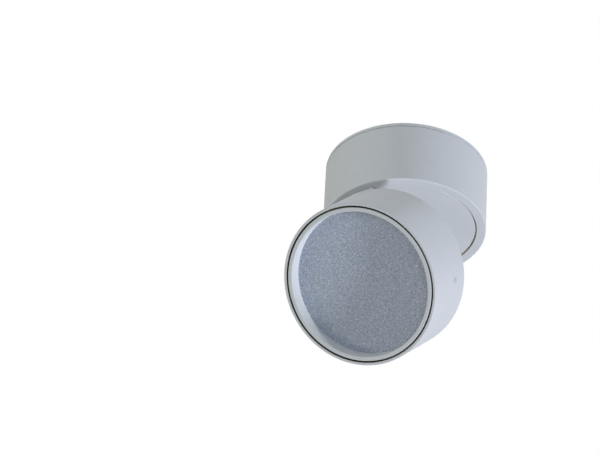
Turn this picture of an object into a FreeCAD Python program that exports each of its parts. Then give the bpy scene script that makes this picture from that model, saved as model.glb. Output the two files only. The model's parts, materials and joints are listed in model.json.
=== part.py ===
"""Surface mounted ceiling spotlight: a fixed can, a swivelling disc and a folding lamp head.

Millimetres, +Z up. The origin is the centre of the ceiling plate's top face, so the spotlight lies
below z = 0. The hinge is on the -Y side, and the head opens by swinging its front towards -Y.

Three local frames are used, and each sub-part's Placement carries it to the row frame:
    ceiling frame  z = 0 is the ceiling
    rim frame      z = 0 is the lower rim of the fixed can
    head frame     z = 0 is the head's back face, its front faces down as when it is folded shut
"""
import FreeCAD, Part

import os
import re

import Sketcher
from FreeCAD import Rotation, Vector

SIZES = {
    # the two cans
    "base_radius": 45.0,
    "base_wall": 2.0,
    "base_height": 38.8,
    "head_radius": 44.7,
    "head_wall": 1.6,
    "head_length": 39.0,
    "edge_round": 0.5,
    # fixed can
    "rim_width": 5.2,
    "rim_thickness": 2.5,
    "seam_gap": 0.4,
    "seam_depth": 0.8,
    # ceiling plate
    "plate_thickness": 1.7,
    "skirt_wall": 1.5,
    "skirt_height": 6.0,
    "skirt_clearance": 0.15,
    "slot_spacing": 60.0,
    "slot_length": 10.0,
    "slot_width": 4.5,
    "cable_hole_radius": 7.0,
    "earth_place": 24.0,
    "earth_screw_radius": 1.95,
    # grub screws that lock the can on the plate's skirt
    "lock_middle_angle": 130.0,
    "lock_half_angle": 65.0,
    "lock_screw_radius": 1.5,
    "lock_screw_drop": 3.0,
    "lock_screw_recess": 0.4,
    # small screws and fits
    "fit_clearance": 0.05,
    "screw_radius": 1.25,
    "screw_head_radius": 2.3,
    "screw_head_height": 1.6,
    # carrier plate and its bosses
    "carrier_level": 12.0,
    "carrier_thickness": 2.0,
    "carrier_clearance": 0.4,
    "boss_reach": 7.0,
    "boss_width": 8.0,
    "boss_height": 6.0,
    "carrier_screw_inset": 3.5,
    # swivel
    "running_gap": 0.6,
    "disc_recess": 0.6,
    "disc_thickness": 2.3,
    "disc_flange_width": 2.95,
    "disc_flange_thickness": 1.5,
    "disc_web": 2.5,
    "slip_ring_thickness": 0.5,
    "hub_radius": 11.0,
    "stud_radius": 5.0,
    "stud_bore": 3.5,
    "stud_head_radius": 8.0,
    "stud_head_thickness": 2.0,
    "bush_wall": 2.0,
    "bush_flange_radius": 10.0,
    "bush_flange_thickness": 1.2,
    "thrust_washer_thickness": 0.5,
    "disc_spring_thickness": 0.5,
    "disc_spring_rise": 0.6,
    "nut_radius": 9.2,
    "nut_height": 4.0,
    "stop_radius": 18.0,
    "stop_pin_radius": 1.5,
    "stop_lug_width": 4.0,
    "stop_lug_drop": 5.0,
    "cord_hole_radius": 2.2,
    "grommet_lip": 1.0,
    # folding hinge
    "rest_tilt": 44.3,
    "fold_gap": 8.1,
    "pin_inset": 4.0,
    "pin_rise": 2.5,
    "pin_radius": 1.2,
    "knuckle_radius": 2.2,
    "knuckle_width": 6.0,
    "washer_thickness": 0.4,
    "arm_width": 3.0,
    "bracket_thickness": 1.8,
    "bracket_clearance": 0.4,
    "bracket_length": 15.0,
    "leaf_thickness": 1.5,
    "leaf_length": 12.0,
    "hinge_screw_spacing": 8.0,
    "hinge_screw_radius": 1.0,
    "hinge_head_radius": 1.9,
    "hinge_head_height": 0.9,
    "pin_head_height": 1.0,
    "hinge_nut_height": 1.7,
    "hinge_nut_radius": 2.2,
    "hinge_play": 0.3,
    # lamp head
    "back_thickness": 3.0,
    "groove_width": 0.85,
    "groove_depth": 4.0,
    "ring_width": 2.3,
    "ring_length": 12.5,
    "ring_lip": 1.3,
    "thread_play": 0.15,
    "recess_depth": 8.2,
    "diffuser_thickness": 2.0,
    "gasket_thickness": 1.0,
    "gasket_width": 2.2,
    "lens_play": 0.2,
    "reflector_wall": 1.0,
    "reflector_throat": 21.5,
    "board_radius": 30.0,
    "board_thickness": 1.6,
    "pad_radius": 24.0,
    "pad_thickness": 0.5,
    "chip_size": 3.0,
    "chip_height": 0.7,
    "chip_inner_ring": 9.0,
    "chip_outer_ring": 17.5,
    "board_screw_circle": 27.0,
    "sink_play": 0.1,
    "sink_margin": 1.5,
    "sink_plate": 2.5,
    "sink_hole_radius": 4.5,
    "fin_height": 4.8,
    "fin_field_radius": 31.0,
    "fin_pitch": 6.0,
    "fin_slot": 3.5,
    "sink_screw_circle": 36.0,
    "sink_boss_radius": 3.0,
    "grommet_hole_radius": 4.0,
    # driver and terminals
    "driver_near": 11.0,
    "driver_far": 31.0,
    "driver_wall": 1.5,
    "driver_margin": 1.0,
    "driver_headroom": 3.5,
    "driver_ledge": 1.5,
    "driver_lug": 6.0,
    "component_headroom": 2.0,
    "transformer_length": 16.0,
    "transformer_width": 13.0,
    "capacitor_radius": 4.0,
    "terminal_length": 24.0,
    "terminal_width": 14.0,
    "terminal_height": 12.0,
    "terminal_far": 31.0,
    "terminal_pitch": 8.0,
    "wire_hole_radius": 1.8,
}

# derived sizes, as expressions in the names above
INNER = "(base_radius - base_wall)"
OPENING = "(base_radius - rim_width)"
HOUSING_TOP = "(base_height - plate_thickness - seam_gap)"
SKIRT_OUTER = f"({INNER} - skirt_clearance)"
SKIRT_INNER = f"({SKIRT_OUTER} - skirt_wall)"
LOCK_LEVEL = f"({HOUSING_TOP} - lock_screw_drop)"
SCREW_HOLE = "(screw_radius + fit_clearance)"
CARRIER_TOP = "(carrier_level + carrier_thickness)"
CARRIER_SCREW_CIRCLE = f"({INNER} - carrier_screw_inset)"
DISC_RADIUS = f"({OPENING} - running_gap)"
DISC_TOP = "(disc_recess + disc_thickness)"
FLANGE_RADIUS = f"({DISC_RADIUS} + disc_flange_width)"
FLANGE_LOW = "(rim_thickness + slip_ring_thickness)"
HUB_TOP = "(carrier_level - thrust_washer_thickness - fit_clearance)"
STUD_SEAT = "(disc_recess + stud_head_thickness)"
STUD_HOLE = "(stud_radius + fit_clearance)"
BUSH_OUTER = "(stud_radius + bush_wall)"
BUSH_TOP = f"({CARRIER_TOP} + bush_flange_thickness)"
SPRING_LOW = f"({BUSH_TOP} + fit_clearance)"
NUT_LOW = f"({SPRING_LOW} + disc_spring_thickness + disc_spring_rise)"
PIN_REACH = "(head_radius - pin_inset)"
PIN_DROP = "(fold_gap - pin_rise)"
FORK_GAP = "(knuckle_width + 2 * (washer_thickness + 2 * fit_clearance))"
BRACKET_WIDTH = f"({FORK_GAP} + 2 * arm_width)"
BRACKET_UNDER_RIM = "(bracket_clearance + bracket_thickness)"
BRACKET_STEP = f"(min({DISC_RADIUS}; {PIN_REACH} - 2 * bracket_clearance) - bracket_clearance)"
BRACKET_END = f"({PIN_REACH} + bracket_clearance)"
BRACKET_SCREW_LINE = f"({BRACKET_STEP} - bracket_length / 2)"
LEAF_END = f"({PIN_REACH} - knuckle_radius - 2 * hinge_play)"
LEAF_SCREW_LINE = f"({LEAF_END} - leaf_length / 2)"
HEAD_INNER = "(head_radius - head_wall)"
RING_FACE = f"({HEAD_INNER} - groove_width)"
RING_INNER = f"({RING_FACE} - ring_width)"
RING_OUTER = f"({HEAD_INNER} - thread_play)"
RING_SEAT = f"({RING_INNER} + ring_lip)"
LENS_RADIUS = f"({RING_SEAT} - lens_play)"
GASKET_LEVEL = "(recess_depth + diffuser_thickness)"
REFLECTOR_LEVEL = f"({GASKET_LEVEL} + gasket_thickness)"
SINK_BACK = "(back_thickness + sink_play)"
SINK_PLATE_BACK = f"({SINK_BACK} + fin_height)"
SINK_FACE = f"({SINK_PLATE_BACK} + sink_plate)"
BOARD_BACK = f"({SINK_FACE} + pad_thickness)"
BOARD_FACE = f"({BOARD_BACK} + board_thickness)"
DRIVER_HALF = f"sqrt(({SKIRT_INNER} - driver_margin)^2 - driver_far^2)"
DRIVER_TOP = "(base_height - plate_thickness - driver_headroom)"
DRIVER_LID = f"({DRIVER_TOP} - driver_wall)"
DRIVER_FLOOR = f"({CARRIER_TOP} + driver_wall)"
DRIVER_BOARD = f"({DRIVER_FLOOR} + driver_ledge)"
COMPONENT_LOW = f"({DRIVER_BOARD} + board_thickness)"
COMPONENT_HEIGHT = f"({DRIVER_LID} - component_headroom - {COMPONENT_LOW})"
DRIVER_MIDDLE = "((driver_near + driver_far) / 2)"
TERMINAL_MIDDLE = "(terminal_far - terminal_width / 2)"

# placements of the three frames
CEILING = "placement(vector(0; 0; 0); rotation(vector(0; 0; 1); 0))"
RIM = "placement(vector(0; 0; -base_height); rotation(vector(0; 0; 1); 0))"
HEAD = (
    "placement(vector(0; 0; -(base_height + fold_gap)); rotation(vector(-1; 0; 0); rest_tilt); "
    f"vector(0; -{PIN_REACH}; pin_rise))"
)

THIRDS = (90, 210, 330)

document = FreeCAD.newDocument("CeilingSpotlight")
sheet = document.addObject("Spreadsheet::Sheet", "Sizes")
for row, (alias, size) in enumerate(SIZES.items(), start=1):
    sheet.set(f"A{row}", alias)
    sheet.set(f"B{row}", str(size))
    sheet.setAlias(f"B{row}", alias)
document.recompute()

subparts = []


# ---------------------------------------------------------------- expressions and sketches

def bind(text):
    """Turn each size name in an expression into a reference to its cell."""
    return re.sub(r"[a-z][a-z_]*", lambda word: ("Sizes." if word[0] in SIZES else "") + word[0], text)


def number(text):
    """Work out an expression with the sizes that the sheet holds now."""
    return float(sheet.evalExpression(bind(text)))


def new_body(label, frame):
    """Start a sub-part as a body with its own label and placement."""
    body = document.addObject("PartDesign::Body", label)
    body.Label = label
    body.AllowCompound = True
    body.setExpression("Placement", bind(frame))
    subparts.append(body)
    return body


def sketch_on(body, plane, lift="0"):
    """Attach a sketch to one of the body's origin planes, moved along its normal."""
    sketch = body.newObject("Sketcher::SketchObject", "Sketch")
    support = [item for item in body.Origin.OriginFeatures if item.Role == plane][0]
    sketch.AttachmentSupport = (support, [""])
    sketch.MapMode = "FlatFace"
    sketch.setExpression("AttachmentOffset.Base.z", bind(lift))
    return sketch


def radial_sketch(body, angle, distance):
    """A sketch that faces outwards at an angle about Z, its x axis level and its y axis up."""
    sketch = sketch_on(body, "YZ_Plane", f"{distance} * cos({angle})")
    sketch.AttachmentOffset = FreeCAD.Placement(Vector(), Rotation(Vector(0, 1, 0), number(angle)))
    sketch.setExpression("AttachmentOffset.Rotation.Angle", bind(angle))
    sketch.setExpression("AttachmentOffset.Base.x", bind(f"{distance} * sin({angle})"))
    sketch.setExpression("AttachmentOffset.Base.z", bind(f"{distance} * cos({angle})"))
    return sketch


def hold(sketch, geometry, point, across, up):
    """Fix a point of a sketch by its two distances from the origin."""
    for kind, distance in (("DistanceX", across), ("DistanceY", up)):
        rule = Sketcher.Constraint(kind, -1, 1, geometry, point, number(distance))
        sketch.setExpression(f"Constraints[{sketch.addConstraint(rule)}]", bind(distance))


def outline(sketch, points):
    """Draw a closed outline of straight edges through points given as expressions."""
    corners = [Vector(number(across), number(up), 0) for across, up in points]
    first = sketch.GeometryCount
    for here, there in zip(corners, corners[1:] + corners[:1]):
        sketch.addGeometry(Part.LineSegment(here, there))
    for index, (across, up) in enumerate(points):
        following = first + (index + 1) % len(points)
        sketch.addConstraint(Sketcher.Constraint("Coincident", first + index, 2, following, 1))
        hold(sketch, first + index, 1, across, up)


def rectangle(sketch, left, low, right, high):
    """Draw a rectangle between two corners."""
    outline(sketch, [(left, low), (right, low), (right, high), (left, high)])


def circle(sketch, radius, across="0", up="0"):
    """Draw a circle about a point."""
    centre = Vector(number(across), number(up), 0)
    geometry = sketch.addGeometry(Part.Circle(centre, Vector(0, 0, 1), number(radius)))
    hold(sketch, geometry, 3, across, up)
    rule = Sketcher.Constraint("Radius", geometry, number(radius))
    sketch.setExpression(f"Constraints[{sketch.addConstraint(rule)}]", bind(radius))


def circles_round(sketch, radius, ring, angles):
    """Draw equal circles on a ring about the origin, at angles in degrees."""
    for angle in angles:
        circle(sketch, radius, f"{ring} * cos({angle})", f"{ring} * sin({angle})")


def hexagon(sketch, radius, across="0", up="0"):
    """Draw a hexagon of a given corner radius."""
    corners = [(f"{across} + {radius} * cos({60 * k})", f"{up} + {radius} * sin({60 * k})") for k in range(6)]
    outline(sketch, corners)


# ---------------------------------------------------------------- features

def turn(body, points):
    """Turn a profile of (radius, height) points about the body's Z axis."""
    sketch = sketch_on(body, "XZ_Plane")
    outline(sketch, points)
    turning = body.newObject("PartDesign::Revolution", "Turning")
    turning.Profile = sketch
    turning.ReferenceAxis = (sketch, ["V_Axis"])
    turning.Angle = 360


def pad(body, sketch, length, side="One side", back=False):
    """Raise a sketch along its normal, the other way with back, or half each way."""
    feature = body.newObject("PartDesign::Pad", "Pad")
    feature.Profile = sketch
    feature.SideType = side
    feature.setExpression("Length", bind(length))
    feature.Reversed = back
    return feature


def pocket(body, sketch, depth, side="One side", forward=False):
    """Cut a sketch into the body against its normal, along it with forward, or half each way."""
    feature = body.newObject("PartDesign::Pocket", "Pocket")
    feature.Profile = sketch
    feature.SideType = side
    feature.setExpression("Length", bind(depth))
    feature.Reversed = forward
    return feature


def around(body, feature, count):
    """Repeat a feature around the body's Z axis."""
    pattern = body.newObject("PartDesign::PolarPattern", "Around")
    pattern.Originals = [feature]
    pattern.Axis = (feature.Profile[0], ["N_Axis"])
    pattern.Angle = 360
    pattern.Occurrences = count
    body.Tip = pattern


def round_rims(body, radius, rims):
    """Round circular edges, each named by its radius and height."""
    document.recompute()
    base = body.Tip
    chosen = []
    for rim_radius, height in rims:
        for index, edge in enumerate(base.Shape.Edges, start=1):
            curve = edge.Curve
            if not hasattr(curve, "Radius") or abs(curve.Radius - number(rim_radius)) > 1e-4:
                continue
            if abs(curve.Center.z - number(height)) < 1e-4:
                chosen.append(f"Edge{index}")
    fillet = body.newObject("PartDesign::Fillet", "Rounding")
    fillet.Base = (base, chosen)
    fillet.setExpression("Radius", bind(radius))
    body.Tip = fillet


def screws(label, frame, places, level, head, shank, head_up=True):
    """A group of pan head screws: heads of (radius, height) at a level, shanks of (radius, length)."""
    body = new_body(label, frame)
    for (radius, length), outwards in ((head, head_up), (shank, not head_up)):
        sketch = sketch_on(body, "XY_Plane", level)
        for across, up in places:
            circle(sketch, radius, across, up)
        pad(body, sketch, length, back=not outwards)
    socket_level = f"{level} + {head[1]}" if head_up else f"{level} - ({head[1]})"
    sketch = sketch_on(body, "XY_Plane", socket_level)
    for across, up in places:
        hexagon(sketch, f"({shank[0]} * 0.8)", across, up)
    pocket(body, sketch, f"{head[1]} / 2", forward=not head_up)
    return body


def on_ring(ring, angles):
    """Places on a ring about the origin, as expressions."""
    return [(f"{ring} * cos({angle})", f"{ring} * sin({angle})") for angle in angles]


def box(name, corner, size):
    """A box from its low corner and its size."""
    solid = document.addObject("Part::Box", name)
    for side, length in zip(("Length", "Width", "Height"), size):
        solid.setExpression(side, bind(length))
    for axis, place in zip("xyz", corner):
        solid.setExpression(f"Placement.Base.{axis}", bind(place))
    return solid


def cylinder(name, radius, height, place):
    """An upright cylinder from the centre of its lower face."""
    solid = document.addObject("Part::Cylinder", name)
    solid.setExpression("Radius", bind(radius))
    solid.setExpression("Height", bind(height))
    for axis, distance in zip("xyz", place):
        solid.setExpression(f"Placement.Base.{axis}", bind(distance))
    return solid


def join(label, shapes, frame=None):
    """Fuse shapes into one; with a frame the result is a sub-part."""
    fused = document.addObject("Part::MultiFuse", label)
    fused.Shapes = shapes
    return finish_boolean(fused, label, frame)


def subtract(label, base, tool, frame=None):
    """Cut one shape from another; with a frame the result is a sub-part."""
    cut = document.addObject("Part::Cut", label)
    cut.Base = base
    cut.Tool = tool
    return finish_boolean(cut, label, frame)


def finish_boolean(result, label, frame):
    """Label a boolean's result, and place it where it is a sub-part."""
    result.Label = label
    if frame:
        result.setExpression("Placement", bind(frame))
        subparts.append(result)
    return result


# ---------------------------------------------------------------- fixed base

def make_ceiling_plate():
    """Plate that is screwed to the ceiling, with the skirt that the can slides over."""
    body = new_body("ceiling_plate", CEILING)
    step = "-(plate_thickness + seam_gap)"
    skirt_end = "-(plate_thickness + seam_gap + skirt_height)"
    turn(body, [
        ("cable_hole_radius", "0"),
        ("base_radius", "0"),
        ("base_radius", "-plate_thickness"),
        ("base_radius - seam_depth", "-plate_thickness"),
        ("base_radius - seam_depth", step),
        (SKIRT_OUTER, step),
        (SKIRT_OUTER, skirt_end),
        (SKIRT_INNER, skirt_end),
        (SKIRT_INNER, "-plate_thickness"),
        ("cable_hole_radius", "-plate_thickness"),
    ])
    ends = sketch_on(body, "XY_Plane")
    webs = sketch_on(body, "XY_Plane")
    reach = "(slot_length - slot_width) / 2"
    for side in ("-", ""):
        middle = f"{side}slot_spacing / 2"
        circle(ends, "slot_width / 2", f"{middle} - {reach}")
        circle(ends, "slot_width / 2", f"{middle} + {reach}")
        rectangle(webs, f"{middle} - {reach}", "-slot_width / 2", f"{middle} + {reach}", "slot_width / 2")
    pocket(body, ends, "plate_thickness")
    pocket(body, webs, "plate_thickness")
    earth = sketch_on(body, "XY_Plane")
    circle(earth, "earth_screw_radius + fit_clearance", "earth_place", "-earth_place")
    pocket(body, earth, "plate_thickness")


def make_base_housing():
    """Fixed can: a tube with an inward rim below and three bosses for the carrier plate."""
    body = new_body("base_housing", RIM)
    turn(body, [
        (OPENING, "0"),
        ("base_radius", "0"),
        ("base_radius", HOUSING_TOP),
        (INNER, HOUSING_TOP),
        (INNER, "rim_thickness"),
        (OPENING, "rim_thickness"),
    ])
    round_rims(body, "edge_round", [("base_radius", "0")])
    round_rims(body, "edge_round / 2", [(OPENING, "0"), ("base_radius", HOUSING_TOP)])
    boss = sketch_on(body, "XY_Plane", "carrier_level - boss_height")
    rectangle(boss, "-boss_width / 2", f"{INNER} - boss_reach", "boss_width / 2", f"{INNER} + base_wall / 2")
    around(body, pad(body, boss, "boss_height"), len(THIRDS))
    holes = sketch_on(body, "XY_Plane", "carrier_level")
    circles_round(holes, SCREW_HOLE, CARRIER_SCREW_CIRCLE, THIRDS)
    pocket(body, holes, "boss_height")
    for side in ("-", "+"):
        hole = radial_sketch(body, f"(lock_middle_angle {side} lock_half_angle)", f"({INNER} - base_wall)")
        circle(hole, "lock_screw_radius + fit_clearance", "0", LOCK_LEVEL)
        pocket(body, hole, "3 * base_wall", forward=True)


def make_lock_screws():
    """Two grub screws through the can's wall, their points on the ceiling plate's skirt."""
    body = new_body("lock_screws", RIM)
    length = f"(base_radius - lock_screw_recess - {SKIRT_OUTER})"
    for side in ("-", "+"):
        angle = f"(lock_middle_angle {side} lock_half_angle)"
        shank = radial_sketch(body, angle, SKIRT_OUTER)
        circle(shank, "lock_screw_radius", "0", LOCK_LEVEL)
        pad(body, shank, length)
    for side in ("-", "+"):
        angle = f"(lock_middle_angle {side} lock_half_angle)"
        socket = radial_sketch(body, angle, "(base_radius - lock_screw_recess)")
        hexagon(socket, "(lock_screw_radius * 0.6)", "0", LOCK_LEVEL)
        pocket(body, socket, f"{length} / 2")


def make_carrier_plate():
    """Inner plate on the can's bosses, which carries the swivel and the driver."""
    body = new_body("carrier_plate", RIM)
    sketch = sketch_on(body, "XY_Plane", "carrier_level")
    circle(sketch, f"{INNER} - carrier_clearance")
    circle(sketch, f"{BUSH_OUTER} + fit_clearance")
    circles_round(sketch, SCREW_HOLE, CARRIER_SCREW_CIRCLE, THIRDS)
    for side in ("-", ""):
        circle(sketch, SCREW_HOLE, f"{side}({DRIVER_HALF} + driver_lug / 2)", DRIVER_MIDDLE)
    pad(body, sketch, "carrier_thickness")
    lug = sketch_on(body, "XY_Plane", "carrier_level")
    half = "stop_lug_width / 2"
    rectangle(lug, f"-{half}", f"stop_radius - {half}", half, f"stop_radius + {half}")
    pad(body, lug, "stop_lug_drop", back=True)


def make_carrier_screws():
    """Three screws from the carrier plate into the can's bosses."""
    screws("carrier_screws", RIM, on_ring(CARRIER_SCREW_CIRCLE, THIRDS), CARRIER_TOP,
           ("screw_head_radius", "screw_head_height"), ("screw_radius", "boss_height"))


def make_pivot_bush():
    """Flanged bush in the carrier plate, in which the stud turns."""
    turn(new_body("pivot_bush", RIM), [
        (STUD_HOLE, "carrier_level"),
        (BUSH_OUTER, "carrier_level"),
        (BUSH_OUTER, CARRIER_TOP),
        ("bush_flange_radius", CARRIER_TOP),
        ("bush_flange_radius", BUSH_TOP),
        (STUD_HOLE, BUSH_TOP),
    ])


def make_thrust_washer():
    """Washer between the disc's hub and the carrier plate."""
    low = "carrier_level - thrust_washer_thickness"
    turn(new_body("thrust_washer", RIM), [
        ("stud_radius + 4 * fit_clearance", low),
        ("hub_radius", low),
        ("hub_radius", "carrier_level"),
        ("stud_radius + 4 * fit_clearance", "carrier_level"),
    ])


def make_slip_ring():
    """Low friction ring on the can's rim, under the disc's flange."""
    inside = f"{OPENING} + running_gap / 2"
    outside = f"{FLANGE_RADIUS} + running_gap / 2"
    high = f"{FLANGE_LOW} - fit_clearance"
    turn(new_body("slip_ring", RIM), [
        (inside, "rim_thickness"), (outside, "rim_thickness"), (outside, high), (inside, high),
    ])


def make_driver():
    """Driver on the carrier plate: case, lid, board, transformer, capacitors and fixing screws."""
    width = "(driver_far - driver_near)"
    wall = "driver_wall"
    outer = box("case_block", (f"-{DRIVER_HALF}", "driver_near", CARRIER_TOP),
                (f"2 * {DRIVER_HALF}", width, f"{DRIVER_LID} - {CARRIER_TOP}"))
    hollow = box("case_hollow", (f"-({DRIVER_HALF} - {wall})", f"driver_near + {wall}", DRIVER_FLOOR),
                 (f"2 * ({DRIVER_HALF} - {wall})", f"{width} - 2 * {wall}", f"{DRIVER_LID} - {DRIVER_FLOOR}"))
    shell = subtract("case_shell", outer, hollow)
    lug_width = "driver_lug"
    lugs = []
    for name, corner in (("left", f"-({DRIVER_HALF} + {lug_width})"), ("right", DRIVER_HALF)):
        lug = box(f"case_lug_{name}", (corner, f"{DRIVER_MIDDLE} - {lug_width} / 2", CARRIER_TOP),
                  (lug_width, lug_width, wall))
        middle = f"{corner} + {lug_width} / 2"
        hole = cylinder(f"case_hole_{name}", SCREW_HOLE, wall, (middle, DRIVER_MIDDLE, CARRIER_TOP))
        lugs.append(subtract(f"case_ear_{name}", lug, hole))
    ledges = []
    for name, near in (("near", f"driver_near + {wall}"), ("far", f"driver_far - 2 * {wall}")):
        ledges.append(box(f"case_ledge_{name}", (f"-({DRIVER_HALF} - {wall})", near, DRIVER_FLOOR),
                          (f"2 * ({DRIVER_HALF} - {wall})", wall, "driver_ledge")))
    join("driver_case", [shell] + lugs + ledges, RIM)

    lid = box("lid_plate", (f"-{DRIVER_HALF}", "driver_near", DRIVER_LID), (f"2 * {DRIVER_HALF}", width, wall))
    play = f"({wall} + driver_margin / 4)"
    rib = box("lid_rib", (f"-({DRIVER_HALF} - {play})", f"driver_near + {play}", f"{DRIVER_LID} - {wall}"),
              (f"2 * ({DRIVER_HALF} - {play})", wall, wall))
    join("driver_cover", [lid, rib], RIM)

    board = new_body("driver_board", RIM)
    sketch = sketch_on(board, "XY_Plane", DRIVER_BOARD)
    rectangle(sketch, f"-({DRIVER_HALF} - {play})", f"driver_near + {play}",
              f"{DRIVER_HALF} - {play}", f"driver_far - {play}")
    pad(board, sketch, "board_thickness")

    core = new_body("transformer", RIM)
    sketch = sketch_on(core, "XY_Plane", COMPONENT_LOW)
    rectangle(sketch, "-transformer_length", f"{DRIVER_MIDDLE} - transformer_width / 2",
              "0", f"{DRIVER_MIDDLE} + transformer_width / 2")
    pad(core, sketch, COMPONENT_HEIGHT)

    cans = new_body("capacitors", RIM)
    sketch = sketch_on(cans, "XY_Plane", COMPONENT_LOW)
    for step in (1, 2):
        circle(sketch, "capacitor_radius", f"{step} * 2.4 * capacitor_radius - capacitor_radius", DRIVER_MIDDLE)
    pad(cans, sketch, f"{COMPONENT_HEIGHT} - driver_ledge")

    lug_places = [(f"{side}({DRIVER_HALF} + driver_lug / 2)", DRIVER_MIDDLE) for side in ("-", "")]
    screws("driver_screws", RIM, lug_places, DRIVER_FLOOR,
           ("screw_head_radius", "screw_head_height"), ("screw_radius", "driver_wall + carrier_thickness"))


def make_terminals():
    """Terminal block under the ceiling plate, its clamping screws and the earth screw."""
    body = new_body("terminal_block", CEILING)
    sketch = sketch_on(body, "XY_Plane", "-plate_thickness")
    rectangle(sketch, "-terminal_length / 2", "-terminal_far",
              "terminal_length / 2", "-(terminal_far - terminal_width)")
    pad(body, sketch, "terminal_height", back=True)
    poles = ("-terminal_pitch", "0", "terminal_pitch")
    wires = sketch_on(body, "XZ_Plane")
    for pole in poles:
        circle(wires, "wire_hole_radius", pole, "-(plate_thickness + terminal_height / 3)")
    pocket(body, wires, "3 * terminal_far", side="Symmetric")
    wells = sketch_on(body, "XY_Plane", "-(plate_thickness + terminal_height)")
    for pole in poles:
        circle(wells, "screw_head_radius + fit_clearance", pole, f"-{TERMINAL_MIDDLE}")
    pocket(body, wells, "terminal_height / 3", forward=True)

    clamps = new_body("terminal_screws", CEILING)
    level = "-(plate_thickness + terminal_height * 2 / 3)"
    sketch = sketch_on(clamps, "XY_Plane", level)
    for pole in poles:
        circle(sketch, "screw_head_radius", pole, f"-{TERMINAL_MIDDLE}")
    pad(clamps, sketch, "terminal_height / 4", back=True)
    slots = sketch_on(clamps, "XY_Plane", f"{level} - terminal_height / 4")
    for pole in poles:
        rectangle(slots, f"{pole} - screw_head_radius * 0.8", f"-({TERMINAL_MIDDLE} + 0.3)",
                  f"{pole} + screw_head_radius * 0.8", f"-({TERMINAL_MIDDLE} - 0.3)")
    pocket(clamps, slots, "screw_head_height / 2", forward=True)

    screws("earth_screw", CEILING, [("earth_place", "-earth_place")], "-plate_thickness",
           ("1.75 * earth_screw_radius", "screw_head_height * 1.5"),
           ("earth_screw_radius", "plate_thickness - driver_margin / 2"), head_up=False)


# ---------------------------------------------------------------- swivel

def make_swivel_disc():
    """Disc in the can's opening: a face, a flange that rests over the rim, and a hub."""
    body = new_body("swivel_disc", RIM)
    flange_high = f"{FLANGE_LOW} + disc_flange_thickness"
    head_hole = "(stud_head_radius + fit_clearance)"
    turn(body, [
        (head_hole, "disc_recess"),
        (DISC_RADIUS, "disc_recess"),
        (DISC_RADIUS, FLANGE_LOW),
        (FLANGE_RADIUS, FLANGE_LOW),
        (FLANGE_RADIUS, flange_high),
        (f"{DISC_RADIUS} - disc_web", flange_high),
        (f"{DISC_RADIUS} - disc_web", DISC_TOP),
        ("hub_radius", DISC_TOP),
        ("hub_radius", HUB_TOP),
        (STUD_HOLE, HUB_TOP),
        (STUD_HOLE, STUD_SEAT),
        (head_hole, STUD_SEAT),
    ])
    round_rims(body, "edge_round / 2", [(DISC_RADIUS, "disc_recess")])
    holes = sketch_on(body, "XY_Plane", DISC_TOP)
    for side in ("-", ""):
        circle(holes, "hinge_screw_radius + fit_clearance", f"{side}hinge_screw_spacing / 2",
               f"-{BRACKET_SCREW_LINE}")
    pocket(body, holes, "disc_thickness")
    seat = sketch_on(body, "XY_Plane", DISC_TOP)
    circle(seat, "stop_pin_radius + fit_clearance", "0", "-stop_radius")
    pocket(body, seat, "disc_thickness * 2 / 3")


def make_pivot():
    """Hollow stud with its spring, nut and cord grommet, and the pin that stops the swivel."""
    nut_high = f"{NUT_LOW} + nut_height"
    stud_top = f"{nut_high} + grommet_lip"
    turn(new_body("pivot_stud", RIM), [
        ("stud_bore", "disc_recess"),
        ("stud_head_radius", "disc_recess"),
        ("stud_head_radius", STUD_SEAT),
        ("stud_radius", STUD_SEAT),
        ("stud_radius", stud_top),
        ("stud_bore", stud_top),
    ])
    edge = "bush_flange_radius - bush_wall / 2"
    turn(new_body("disc_spring", RIM), [
        (f"{STUD_HOLE} + fit_clearance", f"{SPRING_LOW} + disc_spring_rise"),
        (edge, SPRING_LOW),
        (edge, f"{SPRING_LOW} + disc_spring_thickness"),
        (f"{STUD_HOLE} + fit_clearance", NUT_LOW),
    ])
    nut = new_body("pivot_nut", RIM)
    sketch = sketch_on(nut, "XY_Plane", NUT_LOW)
    hexagon(sketch, "nut_radius")
    circle(sketch, STUD_HOLE)
    pad(nut, sketch, "nut_height")

    pin = new_body("stop_pin", RIM)
    sketch = sketch_on(pin, "XY_Plane", f"{DISC_TOP} - disc_thickness * 2 / 3")
    circle(sketch, "stop_pin_radius", "0", "-stop_radius")
    pad(pin, sketch, f"{HUB_TOP} - driver_margin - {DISC_TOP} + disc_thickness * 2 / 3")

    neck = "(stud_bore - fit_clearance)"
    turn(new_body("disc_grommet", RIM), [
        ("cord_hole_radius", "disc_recess - grommet_lip"),
        ("stud_radius + grommet_lip / 2", "disc_recess - grommet_lip"),
        ("stud_radius + grommet_lip / 2", "disc_recess"),
        (neck, "disc_recess"),
        (neck, "disc_recess + 4 * grommet_lip"),
        ("cord_hole_radius", "disc_recess + 4 * grommet_lip"),
    ])


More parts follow.
